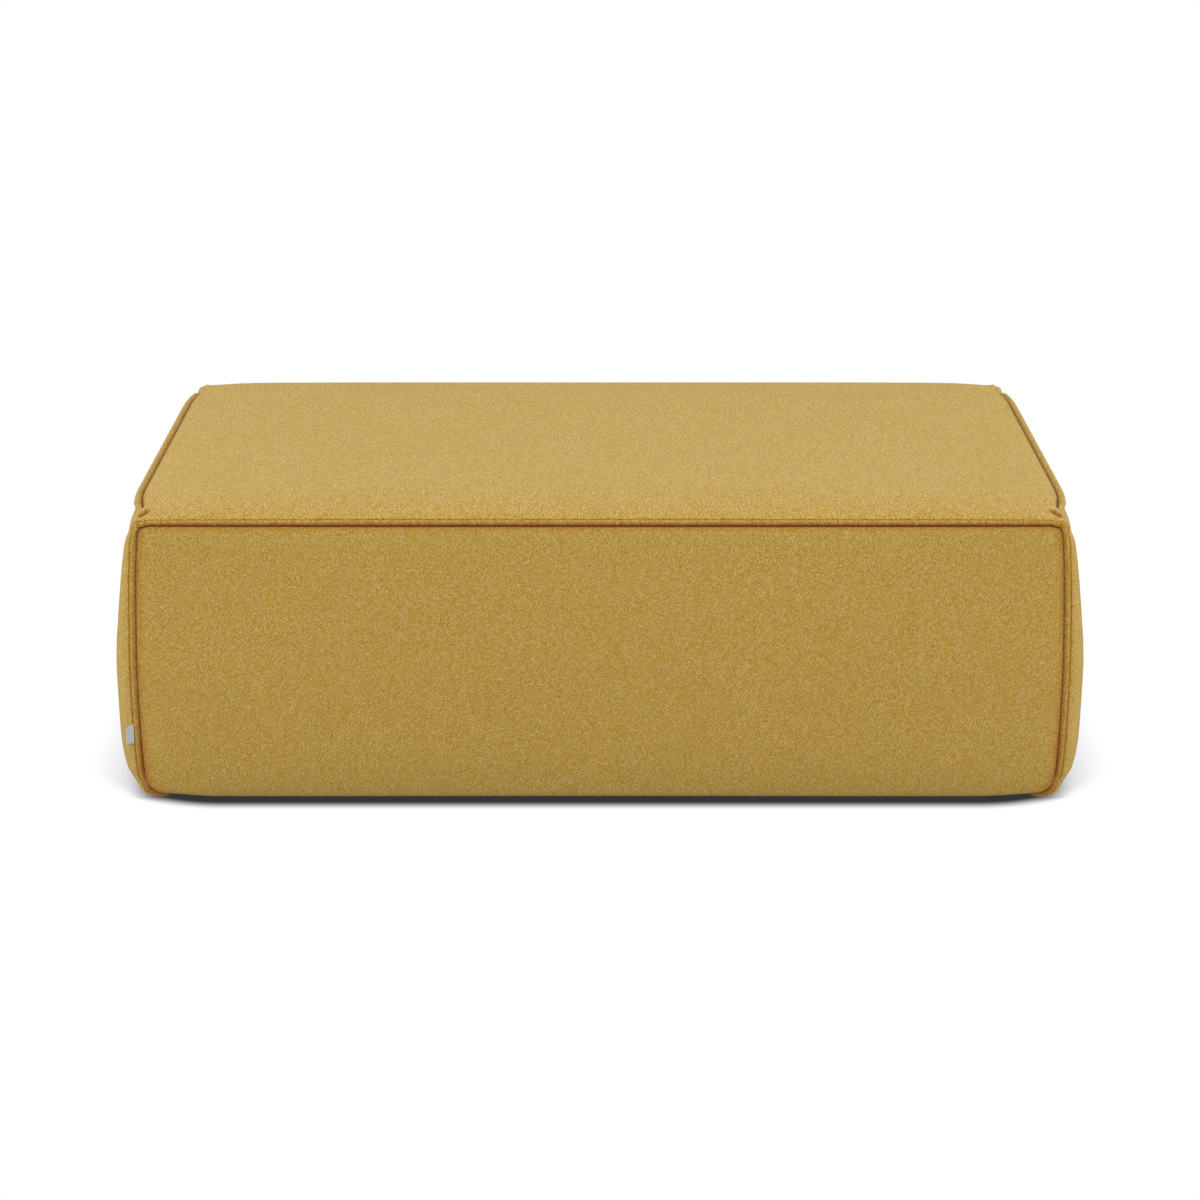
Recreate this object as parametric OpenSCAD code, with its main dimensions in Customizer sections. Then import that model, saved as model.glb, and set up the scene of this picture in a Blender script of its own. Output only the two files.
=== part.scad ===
// Upholstered block ottoman: a timber frame, sinuous springs, foam pads and a sewn cover.
// Millimetres, +Z up. The origin is on the floor under the middle of the ottoman,
// +X runs along the long side and -Y is the front.

/* [Block] */
// Width between the corner seams, along X
seam_w = 1220; // [900:10:1600]
// Depth between the corner seams, along Y
seam_d = 800; // [600:10:1000]
// Height of the top corner seams above the floor
seam_h = 392; // [340:2:460]
// Height of the underside above the floor
floor_gap = 10.5; // [8:0.5:24]

/* [Cover form] */
// Rise of the crowned top above its corners
crown = 25; // [6:1:36]
// Distance from a seam at which the crown is full
crown_run = 100; // [50:5:160]
// How far an end panel stands out beyond its corner seams
end_bulge = 50; // [10:1:60]
// Distance from a corner seam at which an end panel is fully out
end_run = 225; // [60:5:250]
// How far the front and back panels stand out beyond their corner seams
front_bulge = 14; // [4:1:40]
// Distance from a corner seam at which a front or back panel is fully out
front_run = 130; // [60:5:180]
// Drop below the top seam at which the side panels are fully out
bulge_drop = 198; // [80:2:240]
// Height above the underside at which the side panels are fully out
bulge_lift = 88; // [40:2:106]
// Outward bow of the upright corner seams
corner_bow = 7.2; // [0:0.2:14]
// Length of a corner seam over which its bow builds up
corner_bow_run = 220; // [60:5:250]
// How far the foot of an end turns under
end_foot = 27; // [16:1:28]
// Height over which the foot of an end turns under
end_foot_h = 26; // [16:1:30]
// Radius at which the front and the back turn under
front_foot = 8; // [6:1:20]
// Outward bow of the seams over the two ends
end_seam_bow = 12; // [0:1:20]
// Upward rise of the seams over the two ends
end_seam_rise = 9; // [0:1:12]
// Outward bow of the seams over the front and back
front_seam_bow = 3; // [0:1:12]
// Length of a top seam over which its bow builds up
seam_bow_run = 196; // [50:2:220]

/* [Cover cloth] */
// Thickness of the woven cloth with its backing
cloth_t = 3; // [2:0.5:5]
// Width of the cloth turned under the frame
hem_w = 21; // [14:1:22]
// Thickness of the dust cover under the frame
dust_t = 0.8; // [0.5:0.1:1.5]
// How far the dust cover laps over the turned cloth
dust_lap = 14; // [8:1:20]

/* [Padding] */
// Thickness of the foam pads at their seams
pad_t = 32; // [30:1:50]
// Thickness of the seat foam over the springs
seat_foam_t = 76; // [50:1:100]
// Thickness of the felt between the springs and the foam
felt_t = 6; // [3:1:10]

/* [Frame] */
// Thickness of the rails
rail_t = 22; // [18:1:28]
// Height of the upper rails
upper_rail_h = 70; // [50:1:90]
// Height of the lower rails
lower_rail_h = 60; // [40:1:80]
// Width of a square corner post
post_w = 45; // [36:1:60]
// Width of the middle stiles
stile_w = 70; // [40:1:90]
// Thickness of the lining boards
board_t = 3; // [2:0.5:6]
// Drop of the upper stretcher below the springs
spring_travel = 60; // [40:1:90]
// Height of the two stretchers
stretcher_h = 50; // [30:1:70]

/* [Springs] */
// Number of sinuous springs
spring_count = 8; // [5:1:9]
// Diameter of the spring wire
wire_d = 3.8; // [3:0.1:4.5]
// Width of a spring
spring_w = 50; // [40:1:60]
// Distance between two bars of a spring, rounded to fit the frame
bar_pitch = 25; // [20:1:32]
// Diameter of the tie wires across the springs
tie_d = 3; // [2:0.1:4]
// Thickness of the clip steel
clip_t = 1.2; // [0.8:0.1:1.6]
// Width of a spring clip
clip_w = 16; // [10:1:20]
// Length of a clip's base on the rail
clip_base = 9; // [7:0.5:10]

/* [Glides] */
// Diameter of a glide
glide_d = 40; // [30:1:50]
// Width of the bevel round the foot of a glide
glide_bevel = 2; // [1:0.5:3]
// Diameter of the spigot that seats on the post
spigot_d = 18; // [14:1:24]
// Diameter of the steel stud in a glide
stud_d = 8; // [6:1:10]
// Depth of the stud in the post
stud_reach = 30; // [20:1:45]
// Plastic left under the stud
stud_cover = 4; // [3:0.5:6]

/* [Tag] */
// Height of the blank side tag
tag_h = 25; // [15:1:35]
// Length of the tag that stands out of the seam
tag_l = 12; // [8:1:24]
// Thickness of the folded tag
tag_t = 1; // [0.6:0.1:2]
// Height of the middle of the tag above the floor
tag_z = 98; // [90:1:160]
// Distance of the tag behind the corner seam
tag_back = 5; // [4:1:16]
// Angle at which the tag leans off the panel
tag_lean = 10; // [8:1:40]

/* [Hidden] */
// Clearance between pieces that seat on each other
fit = 0.3;
// Half sizes between the seam planes, and the height of the upholstered block
half_w = seam_w / 2;
half_d = seam_d / 2;
block_h = seam_h - floor_gap;
// Depth of the cover and of the padding behind the seam planes
cover_depth = cloth_t + fit;
pad_depth = cover_depth + pad_t;

// Clearance between two cloth panels at their seam, and the same between two pads
seam_gap = 0.3;
pad_gap = 0.6;
// Depth of the outer face of a pad, a little clear of the cloth over it
pad_face = cloth_t + pad_gap;
// Steps across each rounded edge of a soft panel, and across its flat middle
edge_steps = 6;
long_steps = 4;
short_steps = 2;
// How sharply a side panel swells below its top seam, and a top seam bows beside its corner
swell_power = 1.2;
seam_power = 3;

// Frame planes, worked out from the padding inwards and from the seat foam down
lining_x = half_w - pad_depth - fit;
lining_y = half_d - pad_depth - fit;
frame_x = lining_x - board_t;
frame_y = lining_y - board_t;
inner_x = frame_x - rail_t;
inner_y = frame_y - rail_t;
frame_z = floor_gap + cloth_t + fit;
foam_top = seam_h - pad_depth - fit;
foam_z = foam_top - seat_foam_t;
felt_z = foam_z - felt_t;
clip_h = 2 * clip_t + 2 * fit + wire_d;
rail_top = felt_z - fit - clip_h;
wire_z = rail_top + clip_t + fit + wire_d / 2;
post_x = inner_x - post_w / 2;
post_y = inner_y - post_w / 2;

// Springs, spread evenly between the end rails
spring_bay = 2 * inner_x / spring_count;
spring_reach = 2 * inner_y + rail_t;
bar_count = round(spring_reach / bar_pitch);
bar_step = spring_reach / bar_count;
bar_half = (spring_w - bar_step) / 2;
tie_y = spring_reach / 6;
clip_bore = wire_d / 2 + fit;
clip_outer = clip_bore + clip_t;

// Underside
hem_edge_x = frame_x - hem_w;
hem_edge_y = frame_y - hem_w;
dust_top = floor_gap - fit;
glide_top = dust_top - dust_t - fit;
stud_fit = 0.1;

// Sides of the spring wire, and faces round the other wires, the glides and the studs
wire_sides = 8;
wire_fn = 32;
round_fn = 64;

// Colours of the cloth, the foam, the wood, the board and the steel
cloth_colour = [0.77, 0.65, 0.38];
foam_colour = [0.93, 0.90, 0.80];
wood_colour = [0.79, 0.65, 0.46];
board_colour = [0.60, 0.47, 0.33];
steel_colour = [0.68, 0.69, 0.71];

// A quarter-round rise from 0 to 1 as t goes from 0 to 1; a lower power is less steep
function rise(t, power = 2) =
    t <= 0 ? 0 : t >= 1 ? 1 : pow(1 - pow(1 - t, power), 1 / power);

// Fractions from 0 to 1 along an edge zone, closer together towards the seam
function edge_fractions() = [for (i = [0 : edge_steps]) 1 - cos(90 * i / edge_steps)];

// Stations from -1 to 1 along a side of the block, dense near both of its ends
function stations(half, run, middle_steps) =
    let(
        zone = min(run, half * 0.45) / half,
        low = [for (f = edge_fractions()) f * zone - 1],
        middle = [for (i = [1 : middle_steps - 1]) (zone - 1) * (1 - 2 * i / middle_steps)],
        high = [for (i = [edge_steps : -1 : 0]) -low[i]]
    )
    concat(low, middle, high);

x_stations = stations(half_w, front_run, long_steps);
y_stations = stations(half_d, end_run, short_steps);

// The sides of the block: distance out to the corner seam, turn of the foot, its height, hem edge
end_side = [half_w, end_foot, end_foot_h, hem_edge_x];
long_side = [half_d, front_foot, front_foot, hem_edge_y];

// Rows of a side panel: drop below the top seam as a share of the height, then the turned hem
function wall_rows() =
    let(
        swell = min(bulge_drop, block_h * 0.62) / block_h,
        tuck = min(bulge_lift, block_h * 0.28) / block_h
    )
    concat(
        [for (f = edge_fractions()) [f * swell, 0]],
        [for (i = [edge_steps : -1 : 0]) [1 - edge_fractions()[i] * tuck, 0]]
    );

function cloth_rows() = concat(wall_rows(), [[1, 1]]);

// Distance of a corner seam from the middle, at a row and a layer's depth inside the cover
function corner_reach(side, row, depth) =
    let(
        height = block_h - 2 * depth,
        drop = row[0] * height,
        lift = height - drop,
        turned = (side[1] - depth) * (1 - rise(lift / (side[2] - depth))),
        bow = corner_bow * rise(drop / corner_bow_run) * rise(lift / corner_bow_run)
    )
    side[0] - depth + bow - turned - row[1] * (side[0] - side[1] - side[3]);

// Point of a wall layer that faces -Y: t runs along the wall and row down it
function wall_point(t, row, depth, gap, along, out, bulge, run, bow, lift) =
    let(
        drop = row[0] * block_h,
        up = block_h - drop,
        edge = (1 - abs(t)) * along[0],
        swell = rise(drop / bulge_drop, swell_power),
        seam_share = rise(edge / seam_bow_run, seam_power),
        near_top = pow(max(0, 1 - drop / bulge_drop), 2),
        belly = bulge * rise(edge / run) * swell * rise(up / bulge_lift),
        height = block_h - 2 * depth - gap
    )
    [
        t * (corner_reach(along, row, depth) - gap),
        -(corner_reach(out, row, depth) + belly + bow * seam_share * (1 - swell)),
        floor_gap + depth + (1 - row[0]) * height + lift * seam_share * near_top
    ];

function end_wall_point(t, row, depth, gap = seam_gap) =
    wall_point(
        t, row, depth, gap, long_side, end_side, end_bulge, end_run, end_seam_bow, end_seam_rise
    );

function long_wall_point(t, row, depth, gap = seam_gap) =
    wall_point(t, row, depth, gap, end_side, long_side, front_bulge, front_run, front_seam_bow, 0);

// Point of a layer of the top: u runs along X and v along Y
function top_point(u, v, depth, gap = seam_gap) =
    let(
        edge_u = (1 - abs(u)) * half_w,
        edge_v = (1 - abs(v)) * half_d,
        crown_u = rise(edge_u / crown_run),
        crown_v = rise(edge_v / crown_run),
        bow_v = rise(edge_v / seam_bow_run, seam_power),
        bow_u = rise(edge_u / seam_bow_run, seam_power)
    )
    [
        u * (half_w - depth - gap + end_seam_bow * bow_v),
        v * (half_d - depth - gap + front_seam_bow * bow_u),
        seam_h - depth + crown * crown_u * crown_v + end_seam_rise * bow_v * (1 - crown_u)
    ];

// Two triangles for the cell of a grid whose first corner is a
function cell(a, b, c, d) = [[a, b, c], [a, c, d]];

function flatten(lists) = [for (list = lists) for (item = list) item];

// Index of every point round the border of a grid, in order
function border(rows, columns) =
    concat(
        [for (j = [0 : columns - 2]) j],
        [for (i = [0 : rows - 2]) i * columns + columns - 1],
        [for (j = [columns - 1 : -1 : 1]) (rows - 1) * columns + j],
        [for (i = [rows - 1 : -1 : 1]) i * columns]
    );

function grid_faces(rows, columns, first, flip) =
    flatten([
        for (i = [0 : rows - 2])
            for (j = [0 : columns - 2])
                let(
                    a = first + i * columns + j,
                    quad = [a, a + 1, a + columns + 1, a + columns]
                )
                flip ? cell(quad[3], quad[2], quad[1], quad[0]) : cell(quad[0], quad[1], quad[2], quad[3])
    ]);

// Faces between two rings. Past the ring's turn their diagonals run the other way, so that the
// two pieces of a mitred corner have the same faces there
function rim_faces(outer, inner, turn) =
    flatten([
        for (i = [0 : len(outer) - 1])
            let(next = (i + 1) % len(outer))
            i < turn ? cell(outer[next], outer[i], inner[i], inner[next])
            : cell(outer[i], inner[i], inner[next], outer[next])
    ]);

// Where a ring turns into its last side
function last_side(rows, columns) = 2 * (columns - 1) + rows - 1;

// A sheet of cloth between two grids of points, each a list of rows
module sheet(outer, inner) {
    rows = len(outer);
    columns = len(outer[0]);
    count = rows * columns;
    rim = border(rows, columns);
    polyhedron(
        points = concat(flatten(outer), flatten(inner)),
        faces = concat(
            grid_faces(rows, columns, 0, false),
            grid_faces(rows, columns, count, true),
            rim_faces(rim, [for (k = rim) k + count], last_side(rows, columns))
        )
    );
}

// A foam pad between a grid of points and a flat back with the same border
module pad(outer, back) {
    rows = len(outer);
    columns = len(outer[0]);
    count = rows * columns;
    rim = border(rows, columns);
    last = count + len(rim);
    middle = (back[0] + back[columns + rows - 2]) / 2;
    polyhedron(
        points = concat(flatten(outer), back, [middle]),
        faces = concat(
            grid_faces(rows, columns, 0, false),
            rim_faces(rim, [for (k = [0 : len(rim) - 1]) count + k], last_side(rows, columns)),
            [for (k = [0 : len(rim) - 1]) [count + (k + 1) % len(rim), count + k, last]]
        )
    );
}

// Picks the border points of a grid, in the order of border()
function ring(points) =
    let(all = flatten(points))
    [for (k = border(len(points), len(points[0]))) all[k]];

module long_panel() {
    color(cloth_colour)
        sheet(
            [for (row = cloth_rows()) [for (t = x_stations) long_wall_point(t, row, 0)]],
            [for (row = cloth_rows()) [for (t = x_stations) long_wall_point(t, row, cloth_t)]]
        );
}

module end_panel() {
    color(cloth_colour)
        sheet(
            [for (row = cloth_rows()) [for (t = y_stations) end_wall_point(t, row, 0)]],
            [for (row = cloth_rows()) [for (t = y_stations) end_wall_point(t, row, cloth_t)]]
        );
}

module top_panel() {
    color(cloth_colour)
        sheet(
            [for (v = y_stations) [for (u = x_stations) top_point(u, -v, 0)]],
            [for (v = y_stations) [for (u = x_stations) top_point(u, -v, cloth_t)]]
        );
}

// Back of a wall pad: a flat upright plane at the padding's depth
function pad_back(stations, along, out) =
    let(height = block_h - cover_depth - pad_depth - pad_gap)
    [
        for (row = wall_rows())
            [
                for (t = stations)
                    [
                        t * (along - pad_depth - pad_gap),
                        -(out - pad_depth),
                        floor_gap + cover_depth + (1 - row[0]) * height
                    ]
            ]
    ];

module long_pad() {
    color(foam_colour)
        pad(
            [for (row = wall_rows()) [for (t = x_stations) long_wall_point(t, row, pad_face, pad_gap)]],
            ring(pad_back(x_stations, half_w, half_d))
        );
}

module end_pad() {
    color(foam_colour)
        pad(
            [for (row = wall_rows()) [for (t = y_stations) end_wall_point(t, row, pad_face, pad_gap)]],
            ring(pad_back(y_stations, half_d, half_w))
        );
}

module top_pad() {
    inset = pad_depth + pad_gap;
    back = [
        for (v = y_stations)
            [
                for (u = x_stations)
                    [u * (half_w - inset), -v * (half_d - inset), seam_h - pad_depth]
            ]
    ];
    face = [for (v = y_stations) [for (u = x_stations) top_point(u, -v, pad_face, pad_gap)]];
    color(foam_colour) pad(face, ring(back));
}

// Where a panel that faces -Y is turned to stand on another side
module on_back() rotate([0, 0, 180]) children();
module on_right() rotate([0, 0, 90]) children();
module on_left() rotate([0, 0, -90]) children();

// A box between two corners
module block(low, high) translate(low) cube(high - low);

module seat_foam() {
    color(foam_colour) block([-lining_x, -lining_y, foam_z], [lining_x, lining_y, foam_top]);
}

module felt() {
    color("dimgray") block([-lining_x, -lining_y, felt_z], [lining_x, lining_y, foam_z]);
}

// One spring of bars joined by half loops, lying along Y
module sinuous_spring() {
    for (j = [0 : bar_count])
        translate([-bar_half, j * bar_step - spring_reach / 2, 0])
            rotate([0, 90, 0])
                cylinder(h = 2 * bar_half, d = wire_d, $fn = wire_sides);
    for (j = [0 : bar_count - 1])
        translate([(j % 2 == 0 ? 1 : -1) * bar_half, (j + 0.5) * bar_step - spring_reach / 2, 0])
            rotate([0, 0, j % 2 == 0 ? -90 : 90])
                rotate_extrude(angle = 180, $fn = round_fn)
                    translate([bar_step / 2, 0])
                        circle(d = wire_d, $fn = wire_sides);
}

function spring_x(i) = (i - (spring_count + 1) / 2) * spring_bay;

module spring(i) {
    color(steel_colour) translate([spring_x(i), 0, wire_z]) sinuous_spring();
}

// A folded steel clip that holds the end bar of a spring, open towards +Y
module clip() {
    rotate([90, 0, 90])
        linear_extrude(clip_w, center = true)
            difference() {
                union() {
                    circle(clip_outer, $fn = wire_fn);
                    translate([0, -clip_outer]) square([clip_base, 2 * clip_outer]);
                    translate([-clip_base, -clip_outer]) square([2 * clip_base, clip_t]);
                }
                circle(clip_bore, $fn = wire_fn);
                translate([0, -clip_bore]) square([clip_base + 1, 2 * clip_bore]);
            }
}

module front_clips() {
    color(steel_colour)
        for (i = [1 : spring_count])
            translate([spring_x(i), -spring_reach / 2, wire_z]) clip();
}

// A tie wire under the springs, from the first to the last
module tie_wire() {
    reach = spring_w + spring_x(spring_count) - spring_x(1);
    color(steel_colour)
        translate([-reach / 2, -tie_y, wire_z - wire_d / 2 - fit - tie_d / 2])
            rotate([0, 90, 0])
                cylinder(h = reach, d = tie_d, $fn = wire_fn);
}

module front_rail(bottom, top) {
    color(wood_colour) block([-frame_x, -frame_y, bottom], [frame_x, -inner_y, top]);
}

module end_rail(bottom, top) {
    color(wood_colour) block([inner_x, -inner_y, bottom], [frame_x, inner_y, top]);
}

module upper_end_rail() end_rail(rail_top - upper_rail_h, rail_top);
module lower_end_rail() end_rail(frame_z, frame_z + lower_rail_h);
module upper_front_rail() front_rail(rail_top - upper_rail_h, rail_top);
module lower_front_rail() front_rail(frame_z, frame_z + lower_rail_h);

// A corner post at the front right, bored for its glide's stud
module corner_post() {
    color(wood_colour)
        difference() {
            block([inner_x - post_w, -inner_y, frame_z], [inner_x, post_w - inner_y, rail_top]);
            translate([post_x, -post_y, frame_z - 1])
                cylinder(h = stud_reach + 2, d = stud_d + 2 * stud_fit, $fn = round_fn);
        }
}

module front_stile() {
    color(wood_colour)
        block([-stile_w / 2, -inner_y, frame_z], [stile_w / 2, rail_t - inner_y, rail_top]);
}

module stretcher(bottom) {
    reach = inner_y - rail_t;
    color(wood_colour)
        block([-rail_t / 2, -reach, bottom], [rail_t / 2, reach, bottom + stretcher_h]);
}

module front_board() {
    color(board_colour) block([-frame_x, -lining_y, frame_z], [frame_x, -frame_y, felt_z - fit]);
}

module end_board() {
    color(board_colour) block([frame_x, -lining_y, frame_z], [lining_x, lining_y, felt_z - fit]);
}

module at_glides() {
    for (x = [-post_x, post_x])
        for (y = [-post_y, post_y])
            translate([x, y, 0]) children();
}

module dust_cover() {
    color([0.12, 0.12, 0.13])
        difference() {
            block(
                [-hem_edge_x - dust_lap, -hem_edge_y - dust_lap, dust_top - dust_t],
                [hem_edge_x + dust_lap, hem_edge_y + dust_lap, dust_top]
            );
            at_glides()
                translate([0, 0, dust_top - dust_t - 1])
                    cylinder(h = dust_t + 2, d = spigot_d + 2 * fit, $fn = round_fn);
        }
}

// A round glide with a spigot that passes the dust cover and seats on the post
module glide() {
    half = glide_d / 2;
    outline = [
        [0, 0],
        [half - glide_bevel, 0],
        [half, glide_bevel],
        [half, glide_top],
        [spigot_d / 2, glide_top],
        [spigot_d / 2, frame_z],
        [stud_d / 2 + stud_fit, frame_z],
        [stud_d / 2 + stud_fit, stud_cover],
        [0, stud_cover]
    ];
    color([0.10, 0.10, 0.10])
        translate([post_x, -post_y, 0])
            rotate_extrude($fn = round_fn)
                polygon(outline);
}

module glide_studs() {
    color(steel_colour)
        at_glides()
            translate([0, 0, stud_cover])
                cylinder(h = frame_z + stud_reach - stud_cover, d = stud_d, $fn = round_fn);
}

// A blank folded tag in the front seam of the left end, leaning off the panel's curve
module tag() {
    row = [(seam_h - tag_z) / block_h, 0];
    root = end_wall_point(1 - tag_back / half_d, row, 0);
    beyond = end_wall_point(1 - (tag_back + tag_l) / half_d, row, 0);
    slope = atan2(root[1] - beyond[1], root[0] - beyond[0]);
    color([0.62, 0.63, 0.66])
        translate([root[1] - fit, -root[0], tag_z - tag_h / 2])
            rotate([0, 0, 90 + slope + tag_lean])
                block([0, 0, 0], [tag_l, tag_t, tag_h]);
}

top_panel();
long_panel();  // front_panel
on_back() long_panel();  // back_panel
on_left() end_panel();  // left_panel
on_right() end_panel();  // right_panel
dust_cover();
tag();
top_pad();
long_pad();  // front_pad
on_back() long_pad();  // back_pad
on_left() end_pad();  // left_pad
on_right() end_pad();  // right_pad
seat_foam();
felt();
for (i = [1 : spring_count]) {
    spring(i);
}
front_clips();
on_back() front_clips();  // back_clips
tie_wire();  // front_tie_wire
on_back() tie_wire();  // back_tie_wire
upper_front_rail();  // front_upper_rail
on_back() upper_front_rail();  // back_upper_rail
on_back() upper_end_rail();  // left_upper_rail
upper_end_rail();  // right_upper_rail
lower_front_rail();  // front_lower_rail
on_back() lower_front_rail();  // back_lower_rail
on_back() lower_end_rail();  // left_lower_rail
lower_end_rail();  // right_lower_rail
mirror([1, 0, 0]) corner_post();  // front_left_post
corner_post();  // front_right_post
on_back() corner_post();  // back_left_post
mirror([0, 1, 0]) corner_post();  // back_right_post
front_stile();
on_back() front_stile();  // back_stile
stretcher(rail_top - spring_travel - stretcher_h);  // upper_stretcher
stretcher(frame_z);  // lower_stretcher
front_board();
on_back() front_board();  // back_board
on_back() end_board();  // left_board
end_board();  // right_board
mirror([1, 0, 0]) glide();  // front_left_glide
glide();  // front_right_glide
on_back() glide();  // back_left_glide
mirror([0, 1, 0]) glide();  // back_right_glide
glide_studs();
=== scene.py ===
# %% [markdown]
# # An upholstered block ottoman
#
# This lesson dresses the construction model of a low ottoman that is covered all over in
# mustard wool cloth. The construction model holds the sizes: its nodes are loaded as a fixed
# frame, and nothing in it is moved. The cloth panels, the sewing, the tag and the soft
# fillings are made here around it, and the timber, springs and glides keep their solids and
# get a better finish.

# %% Load the frame
import math
from contextlib import contextmanager

import bmesh
import bpy
import numpy as np
from mathutils import Matrix, Vector


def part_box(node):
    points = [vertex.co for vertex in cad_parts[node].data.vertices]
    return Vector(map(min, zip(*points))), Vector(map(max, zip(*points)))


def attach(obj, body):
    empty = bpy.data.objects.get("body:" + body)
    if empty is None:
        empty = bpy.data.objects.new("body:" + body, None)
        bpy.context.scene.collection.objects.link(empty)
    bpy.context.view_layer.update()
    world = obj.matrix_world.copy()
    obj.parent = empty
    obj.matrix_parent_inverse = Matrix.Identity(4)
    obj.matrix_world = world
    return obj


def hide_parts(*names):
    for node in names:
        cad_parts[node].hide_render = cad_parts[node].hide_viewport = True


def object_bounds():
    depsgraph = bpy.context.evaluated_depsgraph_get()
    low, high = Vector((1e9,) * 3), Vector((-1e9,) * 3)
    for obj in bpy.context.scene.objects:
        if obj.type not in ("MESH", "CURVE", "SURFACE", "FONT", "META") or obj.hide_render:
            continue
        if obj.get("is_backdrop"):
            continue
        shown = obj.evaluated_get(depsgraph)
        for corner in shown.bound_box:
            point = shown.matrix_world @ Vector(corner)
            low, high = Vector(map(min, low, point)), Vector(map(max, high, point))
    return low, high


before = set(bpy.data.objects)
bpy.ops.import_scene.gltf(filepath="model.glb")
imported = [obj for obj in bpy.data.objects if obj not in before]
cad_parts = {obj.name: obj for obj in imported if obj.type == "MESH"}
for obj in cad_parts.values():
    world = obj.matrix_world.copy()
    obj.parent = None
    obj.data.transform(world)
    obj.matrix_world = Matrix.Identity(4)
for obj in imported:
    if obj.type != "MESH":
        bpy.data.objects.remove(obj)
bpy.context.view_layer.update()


# %% Helpers for objects and meshes
def add_object(name, data):
    """Puts new data into the scene as an object at the origin."""
    made = bpy.data.objects.new(name, data)
    bpy.context.scene.collection.objects.link(made)
    return made


@contextmanager
def editing(mesh):
    """Opens a mesh for editing and writes it back afterwards."""
    shape = bmesh.new()
    shape.from_mesh(mesh)
    yield shape
    shape.to_mesh(mesh)
    shape.free()


# %% [markdown]
# ## The camera
#
# The picture is taken straight from the front, from a little above, with a long lens. A long
# lens keeps the far edge of the top nearly as wide as the near one. The camera's place, its
# tilt and its focal length come from the slope of the edges that run to the back.

# %% Camera
CAMERA_TILT = 16.70
CAMERA_PLACE = (0, -4.468, 1.509)
CAMERA_SENSOR, CAMERA_LENS = 36, 96  # millimetres

camera_data = bpy.data.cameras.new("camera")
camera_data.sensor_width, camera_data.lens = CAMERA_SENSOR, CAMERA_LENS
camera_data.clip_end = 60
camera = add_object("camera", camera_data)
camera.location = CAMERA_PLACE
camera.rotation_euler = (math.radians(90 - CAMERA_TILT), 0, 0)
bpy.context.scene.camera = camera
bpy.context.scene.view_settings.view_transform = "Standard"
print("camera at", CAMERA_PLACE, "tilted", CAMERA_TILT, "degrees down")

# %% [markdown]
# ## Writing finishes
#
# Every finish is a tree of nodes. Two small classes keep them readable: Flow is a value on its
# way from one node to the next, and arithmetic on it adds Math nodes, and Finish is one
# material, whose node method makes any other node from its type, sockets and settings. The
# simple materials need only a few patterns each, so one function makes them all.


# %% Flow and Finish
class Flow:
    """A value that travels between nodes. Arithmetic on it adds Math nodes."""

    def __init__(self, finish, socket):
        self.finish, self.socket = finish, socket

    def __add__(self, other):
        return self.finish.maths("ADD", self, other)

    def __sub__(self, other):
        return self.finish.maths("SUBTRACT", self, other)

    def __rsub__(self, other):
        return self.finish.maths("SUBTRACT", other, self)

    def __mul__(self, other):
        return self.finish.maths("MULTIPLY", self, other)

    def __pow__(self, other):
        return self.finish.maths("POWER", self, other)

    __radd__ = __add__
    __rmul__ = __mul__


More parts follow.
